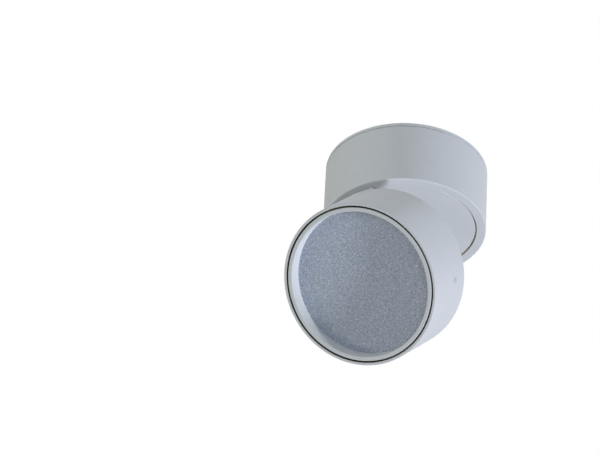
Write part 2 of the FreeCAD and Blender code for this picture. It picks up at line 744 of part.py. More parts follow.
def make_hinge_bracket():
    """Bracket under the disc: a cranked plate that ends in a fork for the hinge pin."""
    body = new_body("hinge_bracket", RIM)
    near = f"-({BRACKET_STEP} - bracket_length)"
    inner_low = "(disc_recess - bracket_thickness)"
    plate = sketch_on(body, "YZ_Plane")
    outline(plate, [
        (near, "disc_recess"),
        (f"-{BRACKET_STEP}", "disc_recess"),
        (f"-{BRACKET_STEP}", "-bracket_clearance"),
        (f"-{BRACKET_END}", "-bracket_clearance"),
        (f"-{BRACKET_END}", f"-{BRACKET_UNDER_RIM}"),
        (f"-({BRACKET_STEP} - bracket_clearance)", f"-{BRACKET_UNDER_RIM}"),
        (f"-({BRACKET_STEP} - 3 * bracket_clearance)", inner_low),
        (near, inner_low),
    ])
    pad(body, plate, BRACKET_WIDTH, side="Symmetric")
    arms = sketch_on(body, "YZ_Plane")
    outline(arms, [
        (f"-({PIN_REACH} - knuckle_radius)", "-(bracket_clearance + bracket_thickness / 2)"),
        (f"-{BRACKET_END}", "-(bracket_clearance + bracket_thickness / 2)"),
        (f"-{BRACKET_END}", f"-{PIN_DROP}"),
        (f"-({PIN_REACH} - knuckle_radius)", f"-{PIN_DROP}"),
    ])
    pad(body, arms, BRACKET_WIDTH, side="Symmetric")
    ends = sketch_on(body, "YZ_Plane")
    circle(ends, "knuckle_radius", f"-{PIN_REACH}", f"-{PIN_DROP}")
    pad(body, ends, BRACKET_WIDTH, side="Symmetric")
    fork = sketch_on(body, "YZ_Plane")
    rectangle(fork, f"-({PIN_REACH} + 2 * knuckle_radius)", f"-({PIN_DROP} + 2 * knuckle_radius)",
              f"-({PIN_REACH} - 2 * knuckle_radius)", f"-{BRACKET_UNDER_RIM}")
    pocket(body, fork, FORK_GAP, side="Symmetric")
    bore = sketch_on(body, "YZ_Plane")
    circle(bore, "pin_radius + fit_clearance / 2", f"-{PIN_REACH}", f"-{PIN_DROP}")
    pocket(body, bore, f"2 * {BRACKET_WIDTH}", side="Symmetric")
    holes = sketch_on(body, "XY_Plane", "disc_recess")
    for side in ("-", ""):
        circle(holes, "hinge_screw_radius + fit_clearance", f"{side}hinge_screw_spacing / 2",
               f"-{BRACKET_SCREW_LINE}")
    pocket(body, holes, "2 * bracket_thickness")


def make_hinge_hardware():
    """Pin, nut and friction washers of the hinge, and the bracket's screws."""
    half = f"({BRACKET_WIDTH} / 2)"
    pin = new_body("hinge_pin", RIM)
    shank = sketch_on(pin, "YZ_Plane", f"-({half} + hinge_nut_height)")
    circle(shank, "pin_radius", f"-{PIN_REACH}", f"-{PIN_DROP}")
    pad(pin, shank, f"{BRACKET_WIDTH} + hinge_nut_height")
    head = sketch_on(pin, "YZ_Plane", half)
    circle(head, "knuckle_radius - fit_clearance", f"-{PIN_REACH}", f"-{PIN_DROP}")
    pad(pin, head, "pin_head_height")

    nut = new_body("hinge_nut", RIM)
    sketch = sketch_on(nut, "YZ_Plane", f"-({half} + hinge_nut_height)")
    hexagon(sketch, "hinge_nut_radius", f"-{PIN_REACH}", f"-{PIN_DROP}")
    circle(sketch, "pin_radius + fit_clearance / 2", f"-{PIN_REACH}", f"-{PIN_DROP}")
    pad(nut, sketch, "hinge_nut_height")

    washers = new_body("friction_washers", RIM)
    for lift in ("-(knuckle_width / 2 + fit_clearance + washer_thickness)", "knuckle_width / 2 + fit_clearance"):
        sketch = sketch_on(washers, "YZ_Plane", lift)
        circle(sketch, "knuckle_radius - fit_clearance", f"-{PIN_REACH}", f"-{PIN_DROP}")
        circle(sketch, "pin_radius + fit_clearance", f"-{PIN_REACH}", f"-{PIN_DROP}")
        pad(washers, sketch, "washer_thickness")

    places = [(f"{side}hinge_screw_spacing / 2", f"-{BRACKET_SCREW_LINE}") for side in ("-", "")]
    screws("bracket_screws", RIM, places, "(disc_recess - bracket_thickness)",
           ("hinge_head_radius", "hinge_head_height"),
           ("hinge_screw_radius", "bracket_thickness + disc_thickness"), head_up=False)


# ---------------------------------------------------------------- lamp head

def make_head_housing():
    """Head's can: a tube with a closed back and inner bosses for the heat sink."""
    body = new_body("head_housing", HEAD)
    turn(body, [
        ("grommet_hole_radius", "0"),
        ("head_radius", "0"),
        ("head_radius", "-head_length"),
        (HEAD_INNER, "-head_length"),
        (HEAD_INNER, "-back_thickness"),
        ("grommet_hole_radius", "-back_thickness"),
    ])
    round_rims(body, "edge_round", [("head_radius", "0"), ("head_radius", "-head_length")])
    round_rims(body, "edge_round / 2", [(HEAD_INNER, "-head_length")])
    holes = sketch_on(body, "XY_Plane")
    for side in ("-", ""):
        circle(holes, "hinge_screw_radius + fit_clearance", f"{side}hinge_screw_spacing / 2",
               f"-{LEAF_SCREW_LINE}")
    pocket(body, holes, "back_thickness")
    bosses = sketch_on(body, "XY_Plane", "-back_thickness")
    circles_round(bosses, "sink_boss_radius", "sink_screw_circle", THIRDS)
    pad(body, bosses, "sink_play + fin_height", back=True)
    taps = sketch_on(body, "XY_Plane", f"-{SINK_PLATE_BACK}")
    circles_round(taps, SCREW_HOLE, "sink_screw_circle", THIRDS)
    pocket(body, taps, "fin_height", forward=True)


def make_front_ring():
    """Ring in the head's mouth: a narrow face, a groove outside it and a seat for the diffuser."""
    body = new_body("front_ring", HEAD)
    turn(body, [
        (RING_INNER, "-head_length"),
        (RING_FACE, "-head_length"),
        (RING_FACE, "groove_depth - head_length"),
        (RING_OUTER, "groove_depth - head_length"),
        (RING_OUTER, "ring_length - head_length"),
        (RING_SEAT, "ring_length - head_length"),
        (RING_SEAT, "recess_depth - head_length"),
        (RING_INNER, "recess_depth - head_length"),
    ])
    round_rims(body, "edge_round * 3 / 4", [(RING_INNER, "-head_length"), (RING_FACE, "-head_length")])


def make_optics():
    """Diffuser, its gasket and the reflector behind it."""
    body = new_body("diffuser", HEAD)
    sketch = sketch_on(body, "XY_Plane", "recess_depth - head_length")
    circle(sketch, LENS_RADIUS)
    pad(body, sketch, "diffuser_thickness")

    gasket_low = f"{GASKET_LEVEL} - head_length"
    gasket_high = f"{REFLECTOR_LEVEL} - head_length"
    turn(new_body("diffuser_gasket", HEAD), [
        (f"{LENS_RADIUS} - gasket_width", gasket_low),
        (LENS_RADIUS, gasket_low),
        (LENS_RADIUS, gasket_high),
        (f"{LENS_RADIUS} - gasket_width", gasket_high),
    ])

    throat = f"-{BOARD_FACE}"
    flange = f"{gasket_high} + reflector_wall"
    mouth = f"({LENS_RADIUS} - gasket_width)"
    turn(new_body("reflector", HEAD), [
        ("reflector_throat", throat),
        ("reflector_throat + reflector_wall", throat),
        (f"{mouth} + reflector_wall", flange),
        (LENS_RADIUS, flange),
        (LENS_RADIUS, gasket_high),
        (mouth, gasket_high),
    ])


def make_light_source():
    """Round board with its light-emitting chips, connector, thermal pad and screws."""
    board = new_body("led_board", HEAD)
    sketch = sketch_on(board, "XY_Plane", f"-{BOARD_FACE}")
    circle(sketch, "board_radius")
    screw_angles = (60, 180, 300)
    circles_round(sketch, SCREW_HOLE, "board_screw_circle", screw_angles)
    pad(board, sketch, "board_thickness")

    chips = new_body("led_chips", HEAD)
    half = "chip_size / 2"
    for ring, count in (("chip_inner_ring", 8), ("chip_outer_ring", 14)):
        sketch = sketch_on(chips, "XY_Plane", f"-{BOARD_FACE}")
        rectangle(sketch, f"{ring} - {half}", f"-{half}", f"{ring} + {half}", half)
        around(chips, pad(chips, sketch, "chip_height", back=True), count)

    socket = new_body("board_connector", HEAD)
    sketch = sketch_on(socket, "XY_Plane", f"-{BOARD_FACE}")
    rectangle(sketch, "-chip_size", "board_radius - 1.3 * chip_size", "chip_size", "board_radius - chip_height")
    pad(socket, sketch, "board_thickness", back=True)

    cushion = new_body("thermal_pad", HEAD)
    sketch = sketch_on(cushion, "XY_Plane", f"-{BOARD_BACK}")
    circle(sketch, "pad_radius")
    pad(cushion, sketch, "pad_thickness")

    screws("board_screws", HEAD, on_ring("board_screw_circle", screw_angles), f"-{BOARD_FACE}",
           ("hinge_head_radius", "hinge_head_height"),
           ("screw_radius", "board_thickness + pad_thickness + sink_plate"), head_up=False)


def make_heat_sink():
    """Heat sink between the board and the head's back, with straight fins, and its screws."""
    body = new_body("heat_sink", HEAD)
    rim = f"({HEAD_INNER} - sink_margin)"
    turn(body, [
        ("sink_hole_radius", f"-{SINK_BACK}"),
        ("fin_field_radius", f"-{SINK_BACK}"),
        ("fin_field_radius", f"-{SINK_PLATE_BACK}"),
        (rim, f"-{SINK_PLATE_BACK}"),
        (rim, f"-{SINK_FACE}"),
        ("sink_hole_radius", f"-{SINK_FACE}"),
    ])
    slots = sketch_on(body, "XY_Plane", f"-{SINK_BACK}")
    for step in range(-4, 5):
        middle = f"{step} * fin_pitch"
        rectangle(slots, f"{middle} - fin_slot / 2", "-(fin_field_radius + 1)",
                  f"{middle} + fin_slot / 2", "fin_field_radius + 1")
    pocket(body, slots, "fin_height")
    holes = sketch_on(body, "XY_Plane", f"-{SINK_FACE}")
    circles_round(holes, SCREW_HOLE, "sink_screw_circle", THIRDS)
    circles_round(holes, SCREW_HOLE, "board_screw_circle", (60, 180, 300))
    pocket(body, holes, "sink_plate", forward=True)
    screws("sink_screws", HEAD, on_ring("sink_screw_circle", THIRDS), f"-{SINK_FACE}",
           ("screw_head_radius", "screw_head_height"), ("screw_radius", "sink_plate + fin_height - 1"),
           head_up=False)


def make_head_grommet():
    """Rubber grommet where the cord enters the head's back."""
    neck = "(grommet_hole_radius - fit_clearance)"
    lip = "(grommet_hole_radius + grommet_lip)"
    turn(new_body("head_grommet", HEAD), [
        ("cord_hole_radius", "-(back_thickness + grommet_lip)"),
        (neck, "-(back_thickness + grommet_lip)"),
        (neck, "0"),
        (lip, "0"),
        (lip, "grommet_lip"),
        ("cord_hole_radius", "grommet_lip"),
    ])


def make_hinge_leaf():
    """Leaf on the head's back, with the knuckle that turns on the hinge pin."""
    body = new_body("hinge_leaf", HEAD)
    plate = sketch_on(body, "YZ_Plane")
    rectangle(plate, f"-{LEAF_END}", "0", f"-({LEAF_END} - leaf_length)", "leaf_thickness")
    pad(body, plate, BRACKET_WIDTH, side="Symmetric")
    strap = sketch_on(body, "YZ_Plane")
    rectangle(strap, f"-{PIN_REACH}", "0", f"-({LEAF_END} - leaf_thickness)", "leaf_thickness")
    pad(body, strap, "knuckle_width", side="Symmetric")
    knuckle = sketch_on(body, "YZ_Plane")
    circle(knuckle, "knuckle_radius", f"-{PIN_REACH}", "pin_rise")
    pad(body, knuckle, "knuckle_width", side="Symmetric")
    bore = sketch_on(body, "YZ_Plane")
    circle(bore, "pin_radius + fit_clearance", f"-{PIN_REACH}", "pin_rise")
    pocket(body, bore, "2 * knuckle_width", side="Symmetric")
    places = [(f"{side}hinge_screw_spacing / 2", f"-{LEAF_SCREW_LINE}") for side in ("-", "")]
    holes = sketch_on(body, "XY_Plane", "leaf_thickness")
    for across, up in places:
        circle(holes, "hinge_screw_radius + fit_clearance", across, up)
    pocket(body, holes, "leaf_thickness")
    screws("leaf_screws", HEAD, places, "leaf_thickness", ("hinge_head_radius", "hinge_head_height"),
           ("hinge_screw_radius", "leaf_thickness + back_thickness"))


# ---------------------------------------------------------------- build, check and write

def check_document():
    """Stop if an object failed, a sub-part isn't valid or a cut took nothing away."""
    for item in document.Objects:
        if "Invalid" in item.State or "Error" in item.State:
            raise RuntimeError(f"{item.Label} failed: {item.State}")
        if item.TypeId == "PartDesign::Pocket":
            before = item.BaseFeature.Shape.Volume
            if before - item.Shape.Volume < 1e-3:
                raise RuntimeError(f"{item.Label} cuts nothing")
    for item in subparts:
        if item.Shape.isNull() or not item.Shape.isValid() or not item.Shape.Solids:
            raise RuntimeError(f"{item.Label} has no valid solid")


for make in (
    make_ceiling_plate, make_base_housing, make_lock_screws, make_carrier_plate, make_carrier_screws,
    make_pivot_bush, make_thrust_washer, make_slip_ring, make_driver, make_terminals,
    make_swivel_disc, make_pivot, make_hinge_bracket, make_hinge_hardware,
    make_head_housing, make_front_ring, make_optics, make_light_source, make_heat_sink,
    make_head_grommet, make_hinge_leaf,
):
    make()
document.recompute()
check_document()

os.makedirs("parts", exist_ok=True)
for item in subparts:
    item.Shape.exportStep(f"parts/{item.Label}.step")
    limits = item.Shape.BoundBox
    print(f"{item.Label:18s} {len(item.Shape.Solids):3d} solids  volume {item.Shape.Volume:10.1f}  "
          f"x {limits.XMin:6.1f} {limits.XMax:6.1f}  y {limits.YMin:6.1f} {limits.YMax:6.1f}  "
          f"z {limits.ZMin:6.1f} {limits.ZMax:6.1f}")
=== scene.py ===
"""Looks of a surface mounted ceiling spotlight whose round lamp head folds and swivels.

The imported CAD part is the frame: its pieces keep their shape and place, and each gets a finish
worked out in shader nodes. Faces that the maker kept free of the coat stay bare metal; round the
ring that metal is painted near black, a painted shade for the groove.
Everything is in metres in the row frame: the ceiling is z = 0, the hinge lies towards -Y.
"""

from __future__ import annotations

import json
import logging
import math
from abc import ABC, abstractmethod
from dataclasses import dataclass, field
from enum import Enum
from typing import Any, Mapping

import bpy
import numpy as np
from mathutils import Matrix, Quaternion, Vector

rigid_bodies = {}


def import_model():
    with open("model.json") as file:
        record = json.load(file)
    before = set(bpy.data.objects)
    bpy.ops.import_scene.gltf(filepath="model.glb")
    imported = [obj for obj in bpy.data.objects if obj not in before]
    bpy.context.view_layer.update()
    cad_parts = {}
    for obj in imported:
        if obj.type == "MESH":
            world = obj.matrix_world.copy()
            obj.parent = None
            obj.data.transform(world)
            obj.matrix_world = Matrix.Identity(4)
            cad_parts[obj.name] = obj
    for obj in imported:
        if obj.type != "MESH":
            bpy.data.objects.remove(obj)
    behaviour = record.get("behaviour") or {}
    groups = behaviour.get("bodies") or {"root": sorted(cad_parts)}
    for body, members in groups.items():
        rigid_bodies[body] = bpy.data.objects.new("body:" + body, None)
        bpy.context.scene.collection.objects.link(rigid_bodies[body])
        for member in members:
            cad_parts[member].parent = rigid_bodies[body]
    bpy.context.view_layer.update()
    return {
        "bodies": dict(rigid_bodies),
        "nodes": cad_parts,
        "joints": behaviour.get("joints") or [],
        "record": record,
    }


LOG = logging.getLogger("ceiling_spotlight")
MILLIMETRE = 0.001
HEIGHT = "Height"  # the output of every shader group: a relief, a mask or a number of 0 to 1

Color = tuple[float, float, float]


class Slot(Enum):
    """Material slots of the record, one for each finish."""

    WHITE_COAT = "white_coat"
    RING_COAT = "ring_coat"
    HINGE_COAT = "hinge_coat"
    SCREW_STEEL = "screw_steel"
    ZINC_STEEL = "zinc_steel"
    SPRING_STEEL = "spring_steel"
    BUSH_BRASS = "bush_brass"
    SLIP_PLASTIC = "slip_plastic"
    DRIVER_PLASTIC = "driver_plastic"
    BOARD_GREEN = "board_green"
    CORE_BLACK = "core_black"
    CAPACITOR_SLEEVE = "capacitor_sleeve"
    TERMINAL_PLASTIC = "terminal_plastic"
    GROMMET_RUBBER = "grommet_rubber"
    DIFFUSER_SHEET = "diffuser_sheet"
    REFLECTOR_PLASTIC = "reflector_plastic"
    CHIP_RESIN = "chip_resin"
    BOARD_WHITE = "board_white"
    PAD_RUBBER = "pad_rubber"
    RAW_ALUMINIUM = "raw_aluminium"


# ------------------------------------------------------------------ shader node helpers


class NodeBoard:
    """A node tree with short calls for adding and joining nodes."""

    def __init__(self, tree: bpy.types.NodeTree) -> None:
        """Takes the tree that the nodes go into.

        Args:
            tree: A material's, world's or group's node tree.
        """
        self.tree = tree

    def add(self, kind: str, values: Mapping[Any, Any] | None = None, **settings: Any) -> bpy.types.Node:
        """Adds a node.

        Args:
            kind: Blender's node type, such as ShaderNodeMath.
            values: Socket names or numbers with a plain value, or with an output socket to join.
            **settings: Properties of the node itself.

        Returns:
            The new node.
        """
        node = self.tree.nodes.new(kind)
        for name, value in settings.items():
            setattr(node, name, value)
        for name, value in (values or {}).items():
            if isinstance(value, bpy.types.NodeSocket):
                self.tree.links.new(value, node.inputs[name])
            else:
                node.inputs[name].default_value = value
        return node

    def math(self, operation: str, *values: Any) -> bpy.types.NodeSocket:
        """Adds a Math node and returns its output."""
        return self.add("ShaderNodeMath", dict(enumerate(values)), operation=operation).outputs[0]

    def noise(self, place: bpy.types.NodeSocket, scale: Any, detail: float) -> bpy.types.NodeSocket:
        """Adds a Noise Texture and returns its factor."""
        values = {"Vector": place, "Scale": scale, "Detail": detail}
        return self.add("ShaderNodeTexNoise", values).outputs[0]

    def cells(self, place: bpy.types.NodeSocket, size: Any) -> tuple[bpy.types.NodeSocket, ...]:
        """Adds Voronoi cells of a size and returns the distance to the middle and the cell's own number."""
        scale = self.math("DIVIDE", 1.0, size)
        cells = self.add("ShaderNodeTexVoronoi", {"Vector": place, "Scale": scale})
        number = self.add("ShaderNodeSeparateColor", {0: cells.outputs["Color"]}).outputs[0]
        return cells.outputs["Distance"], number

    def spread(self, value: Any, low: Any, high: Any) -> bpy.types.NodeSocket:
        """Stretches value from low..high to 0..1, held inside, and returns it."""
        values = {"Value": value, "From Min": low, "From Max": high}
        return self.add("ShaderNodeMapRange", values, clamp=True).outputs[0]

    def mix(self, factor: Any, first: Any, second: Any) -> bpy.types.NodeSocket:
        """Mixes two colours by factor and returns the colour."""
        node = self.add("ShaderNodeMix", {0: factor, 6: first, 7: second}, data_type="RGBA")
        return node.outputs[2]

    def finish(self, value: bpy.types.NodeSocket, result: bpy.types.NodeSocket) -> bpy.types.NodeTree:
        """Joins the value to a group's result and returns the finished group."""
        self.tree.links.new(value, result)
        return self.tree


def opaque(color: Color, shade: float = 1.0) -> tuple[float, ...]:
    """A colour as Blender's sockets take it, each of its parts multiplied by the shade."""
    return (*(part * shade for part in color), 1.0)


class ShaderGroups:
    """The effects that several finishes share, each a node group that is built once."""

    def __init__(self) -> None:
        """Builds the groups."""
        self.grain = self._grain()
        self.mottle = self._mottle()
        self.specks = self._specks()
        self.scuff = self._scuff()
        self.grains = self._grains()
        self.lines = self._lines()

    @staticmethod
    def _start(name: str, **numbers: float) -> tuple[NodeBoard, Any, Any]:
        """Opens a group with a place input, named numbers and the height output.

        Args:
            name: The group's name.
            **numbers: Its number inputs with their usual values.

        Returns:
            The group's board, the outputs of its input node and its one result socket.
        """
        group = bpy.data.node_groups.new(name, "ShaderNodeTree")
        group.interface.new_socket("Place", in_out="INPUT", socket_type="NodeSocketVector")
        for label, value in numbers.items():
            socket = group.interface.new_socket(label, in_out="INPUT", socket_type="NodeSocketFloat")
            socket.default_value = value
        group.interface.new_socket(HEIGHT, in_out="OUTPUT", socket_type="NodeSocketFloat")
        board = NodeBoard(group)
        given = board.add("NodeGroupInput").outputs
        return board, given, board.add("NodeGroupOutput").inputs[HEIGHT]

    def _grain(self) -> bpy.types.NodeTree:
        """Fine relief of a coat or moulding: coarse noise of one size plus half as much at a third of it."""
        board, given, result = self._start("fine_grain", Size=0.5 * MILLIMETRE)
        scale = board.math("DIVIDE", 1.0, given["Size"])
        coarse = board.noise(given["Place"], scale, 1.0)
        fine = board.noise(given["Place"], board.math("MULTIPLY", scale, 3.1), 1.0)
        return board.finish(board.math("MULTIPLY_ADD", fine, 0.5, coarse), result)

    def _mottle(self) -> bpy.types.NodeTree:
        """Slow unevenness of a colour, from 0 to 1, with soft patches of the given size."""
        board, given, result = self._start("slow_mottle", Size=10.0 * MILLIMETRE)
        patches = board.noise(given["Place"], board.math("DIVIDE", 1.0, given["Size"]), 3.0)
        return board.finish(board.spread(patches, 0.3, 0.7), result)

    def _specks(self) -> bpy.types.NodeTree:
        """Sparse round specks, 1 at their middle: cells of the given size, each kept by its own number."""
        board, given, result = self._start("dust_specks", Size=4.0 * MILLIMETRE, Share=0.1, Radius=0.1)
        distance, number = board.cells(given["Place"], given["Size"])
        near = board.math("LESS_THAN", distance, given["Radius"])
        chosen = board.math("LESS_THAN", number, given["Share"])
        return board.finish(board.math("MULTIPLY", near, chosen), result)

    def _scuff(self) -> bpy.types.NodeTree:
        """A small rubbed mark round the place's zero: ragged noise that fades out at the given radius."""
        board, given, result = self._start("rubbed_mark", Radius=2.4 * MILLIMETRE, Size=0.8 * MILLIMETRE)
        far = board.add("ShaderNodeVectorMath", {0: given["Place"]}, operation="LENGTH")
        fade = board.spread(board.math("DIVIDE", far.outputs["Value"], given["Radius"]), 1.0, 0.4)
        scale = board.math("DIVIDE", 1.0, given["Size"])
        ragged = board.spread(board.noise(given["Place"], scale, 2.0), 0.48, 0.58)
        return board.finish(board.math("MULTIPLY", fade, ragged), result)

    def _grains(self) -> bpy.types.NodeTree:
        """Packed grains of one size, each with a number of its own from 0 to 1."""
        board, given, result = self._start("packed_grains", Size=0.4 * MILLIMETRE)
        number = board.cells(given["Place"], given["Size"])[1]
        return board.finish(number, result)

    def _lines(self) -> bpy.types.NodeTree:
        """Fine lines of worked metal: noise squeezed twelvefold along one direction."""
        board, given, result = self._start("worked_lines", Size=0.2 * MILLIMETRE)
        values = {"Vector": given["Place"], "Scale": (0.08, 1.0, 1.0)}
        squeezed = board.add("ShaderNodeMapping", values).outputs[0]
        scale = board.math("DIVIDE", 1.0, given["Size"])
        return board.finish(board.noise(squeezed, scale, 2.0), result)


# ------------------------------------------------------------------ finishes


@dataclass(frozen=True)
class Finish(ABC):
    """What every finish has: its slot, colour and roughness, and how unevenly it has them."""

    slot: Slot
    color: Color
    roughness: float
    unevenness: float = 0.08
    mottle_size: float = 4.0 * MILLIMETRE
    gloss_swing: float = 0.08
    gloss_drop: float = 0.06

    def material(self, groups: ShaderGroups) -> bpy.types.Material:
        """Builds the material.

        Args:
            groups: The shared shader groups.

        Returns:
            The material, named after its slot.
        """
        made = bpy.data.materials.new(f"{self.slot.value}_finish")
        made.use_nodes = True
        made.node_tree.nodes.clear()
        board = NodeBoard(made.node_tree)
        shader = board.add("ShaderNodeBsdfPrincipled", {"Roughness": self.roughness})
        place = board.add("ShaderNodeTexCoord").outputs["Object"]
        self.paint(board, shader, place, groups)
        output = board.add("ShaderNodeOutputMaterial")
        made.node_tree.links.new(shader.outputs[0], output.inputs["Surface"])
        made.diffuse_color = opaque(self.color)
        return made

    @abstractmethod
    def paint(self, board: NodeBoard, shader: bpy.types.Node, place: bpy.types.NodeSocket,
              groups: ShaderGroups) -> None:
        """Feeds the shader with this finish's own colour, gloss and relief.

        Args:
            board: The material's board.
            shader: Its Principled BSDF.
            place: Object coordinates, in metres.
            groups: The shared shader groups.
        """

    def tone(self, board: NodeBoard, mottle: bpy.types.NodeSocket) -> bpy.types.NodeSocket:
        """The colour, darkened by the unevenness where the mottle is 0."""
        return board.mix(mottle, opaque(self.color, 1.0 - self.unevenness), opaque(self.color))

    def vary_gloss(self, board: NodeBoard, shader: bpy.types.Node, value: bpy.types.NodeSocket) -> None:
        """Feeds the roughness: its plain value less the drop, plus the value times the swing."""
        gloss = board.math("MULTIPLY_ADD", value, self.gloss_swing, self.roughness - self.gloss_drop)
        board.tree.links.new(gloss, shader.inputs["Roughness"])

    @staticmethod
    def group(board: NodeBoard, tree: bpy.types.NodeTree, place: bpy.types.NodeSocket,
              **numbers: float) -> bpy.types.NodeSocket:
        """Places a shared group and returns its height output."""
        node = board.add("ShaderNodeGroup", node_tree=tree)
        board.tree.links.new(place, node.inputs["Place"])
        for label, value in numbers.items():
            node.inputs[label].default_value = value
        return node.outputs[HEIGHT]

    @staticmethod
    def relief(board: NodeBoard, shader: bpy.types.Node, height: bpy.types.NodeSocket, depth: float) -> None:
        """Bumps the shader's normal by height times depth, in metres."""
        values = {"Strength": 1.0, "Distance": depth, "Height": height}
        bump = board.add("ShaderNodeBump", values)
        board.tree.links.new(bump.outputs[0], shader.inputs["Normal"])


@dataclass(frozen=True)
class PowderCoat(Finish):
    """Matt powder coat: orange-peel grain, a slow unevenness of tone and a few dust specks."""

    unevenness: float = 0.03
    mottle_size: float = 12.0 * MILLIMETRE
    gloss_swing: float = 0.06
    gloss_drop: float = 0.03
    grain_size: float = 0.55 * MILLIMETRE
    grain_depth: float = 0.022 * MILLIMETRE
    speck_spacing: float = 6.0 * MILLIMETRE
    speck_share: float = 0.10
    speck_radius: float = 0.035
    speck_shade: float = 0.55
    scuff: tuple[float, float, float] | None = None
    scuff_shade: float = 0.45

    def paint(self, board: NodeBoard, shader: bpy.types.Node, place: bpy.types.NodeSocket,
              groups: ShaderGroups) -> None:
        """Lays the tone, the specks, the rubbed mark and the grain on the shader."""
        grain = self.group(board, groups.grain, place, Size=self.grain_size)
        mottle = self.group(board, groups.mottle, place, Size=self.mottle_size)
        numbers = {"Size": self.speck_spacing, "Share": self.speck_share, "Radius": self.speck_radius}
        specks = self.group(board, groups.specks, place, **numbers)
        tone = board.mix(specks, self.tone(board, mottle), opaque(self.color, self.speck_shade))
        if self.scuff is not None:
            centred = {"Vector": place, "Location": tuple(-part for part in self.scuff)}
            near = board.add("ShaderNodeMapping", centred).outputs[0]
            rubbed = self.group(board, groups.scuff, near)
            tone = board.mix(rubbed, tone, opaque(self.color, self.scuff_shade))
        board.tree.links.new(tone, shader.inputs["Base Color"])
        self.vary_gloss(board, shader, mottle)
        self.relief(board, shader, grain, self.grain_depth)


@dataclass(frozen=True)
class WorkedMetal(Finish):
    """Bare or plated metal with fine working lines."""

    unevenness: float = 0.14
    mottle_size: float = 3.0 * MILLIMETRE
    gloss_swing: float = 0.25
    gloss_drop: float = 0.12
    line_size: float = 0.25 * MILLIMETRE
    line_depth: float = 0.004 * MILLIMETRE

    def paint(self, board: NodeBoard, shader: bpy.types.Node, place: bpy.types.NodeSocket,
              groups: ShaderGroups) -> None:
        """Lays the lines in gloss and relief, and a slow unevenness in the colour."""
        shader.inputs["Metallic"].default_value = 1.0
        lines = self.group(board, groups.lines, place, Size=self.line_size)
        mottle = self.group(board, groups.mottle, place, Size=self.mottle_size)
        board.tree.links.new(self.tone(board, mottle), shader.inputs["Base Color"])
        self.vary_gloss(board, shader, lines)
        self.relief(board, shader, lines, self.line_depth)


@dataclass(frozen=True)
class Moulding(Finish):
    """Moulded plastic or rubber with a fine die texture."""

    texture_size: float = 0.3 * MILLIMETRE
    texture_depth: float = 0.01 * MILLIMETRE

    def paint(self, board: NodeBoard, shader: bpy.types.Node, place: bpy.types.NodeSocket,
              groups: ShaderGroups) -> None:
        """Lays the die texture and a slow unevenness of tone."""
        texture = self.group(board, groups.grain, place, Size=self.texture_size)
        mottle = self.group(board, groups.mottle, place, Size=self.mottle_size)
        board.tree.links.new(self.tone(board, mottle), shader.inputs["Base Color"])
        self.vary_gloss(board, shader, texture)
        self.relief(board, shader, texture, self.texture_depth)


@dataclass(frozen=True)
class SparklingSheet(Finish):
    """Unlit diffuser: a grey-blue body full of bright and dark grains under a smooth, clear face."""

    unevenness: float = 0.05
    mottle_size: float = 20.0 * MILLIMETRE
    grain_size: float = 0.32 * MILLIMETRE
    grain_depth: float = 0.02 * MILLIMETRE
    bright: Color = (0.76, 0.78, 0.74)
    dark: Color = (0.10, 0.14, 0.18)
    bright_share: float = 0.24
    dark_share: float = 0.22
    face_roughness: float = 0.10
    haze_roughness: float = 0.5

    def paint(self, board: NodeBoard, shader: bpy.types.Node, place: bpy.types.NodeSocket,
              groups: ShaderGroups) -> None:
        """Mixes the grains into the body colour and lays a slight haze and the clear face over them."""
        number = self.group(board, groups.grains, place, Size=self.grain_size)
        mottle = self.group(board, groups.mottle, place, Size=self.mottle_size)
        lit = board.spread(number, 1.0 - self.bright_share, 1.0)
        sunk = board.spread(number, self.dark_share, 0.0)
        body = board.mix(lit, opaque(self.color), opaque(self.bright))
        pitted = board.mix(sunk, body, opaque(self.dark))
        shaded = board.mix(board.math("MULTIPLY", mottle, self.unevenness), pitted, opaque(self.dark))
        board.tree.links.new(shaded, shader.inputs["Base Color"])
        shader.inputs["Coat Weight"].default_value = 1.0
        shader.inputs["Coat Roughness"].default_value = self.face_roughness
        shader.inputs["Sheen Weight"].default_value = 1.0
        shader.inputs["Sheen Roughness"].default_value = self.haze_roughness
        self.relief(board, shader, number, self.grain_depth)


# the middle of the rubbed mark, on the head's side
SCUFF_PLACE = (0.0413, -0.0099, -0.0955)

# bare aluminium where the coat was left off: olive in the disc's gap; round the ring it is near black, a
# painted shade for the groove
BARE_GROOVE_PAINTED_SHADE = WorkedMetal(Slot.RAW_ALUMINIUM, (0.20, 0.19, 0.13), 0.55)
MASKED_GAP = WorkedMetal(Slot.RAW_ALUMINIUM, (0.78, 0.77, 0.52), 0.6)

